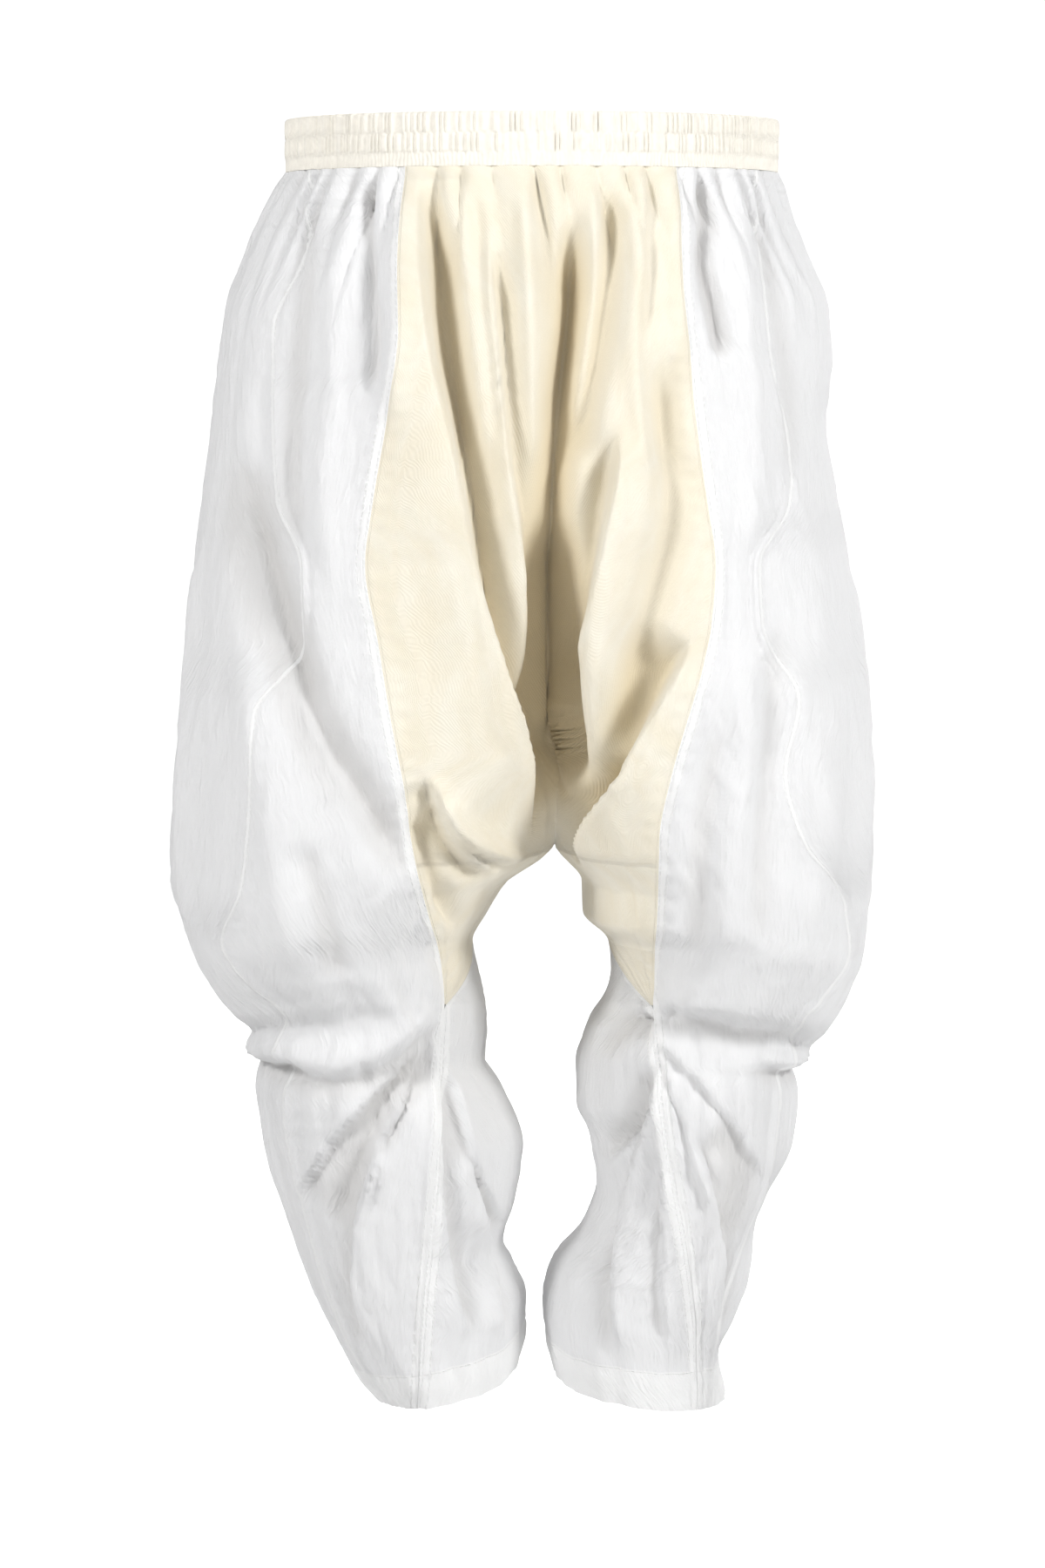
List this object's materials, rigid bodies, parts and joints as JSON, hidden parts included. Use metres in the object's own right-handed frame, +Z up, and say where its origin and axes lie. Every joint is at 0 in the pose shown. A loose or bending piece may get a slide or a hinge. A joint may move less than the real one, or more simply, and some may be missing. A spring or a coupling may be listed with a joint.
{
  "type": "drop crotch trousers",
  "caption": "Worn, hollow drop crotch trousers: elastic waist, cream centre panel to the knees, sheer white side panels ballooning over narrow lower legs.",
  "frame": {"origin": "middle of the waist opening, at half the height of the elastic band, where the wearer's waist holds the garment", "axes": "+Z up along the body, +Y to the garment's front (its back faces -Y), +X to the right in the picture's back view"},
  "size_m": [0.5188, 0.3628, 0.9492],
  "materials": {
    "waistband": "ruched cream cotton over elastic",
    "cream_twill": "opaque cream twill, matt",
    "white_cloth": "sheer crinkled white plain weave, matt",
    "pocket_cloth": "white pocketing"
  },
  "bodies": {
    "root": {"waistband_back": "waistband", "waistband_front": "waistband", "centre_back_panel": "cream_twill", "centre_front_panel": "cream_twill", "left_back_panel": "white_cloth", "left_side_panel": "white_cloth", "left_front_panel": "white_cloth", "left_inner_leg_panel": "white_cloth", "left_pocket_bag": "pocket_cloth", "right_back_panel": "white_cloth", "right_side_panel": "white_cloth", "right_front_panel": "white_cloth", "right_inner_leg_panel": "white_cloth", "right_pocket_bag": "pocket_cloth"}
  },
  "joints": []
}
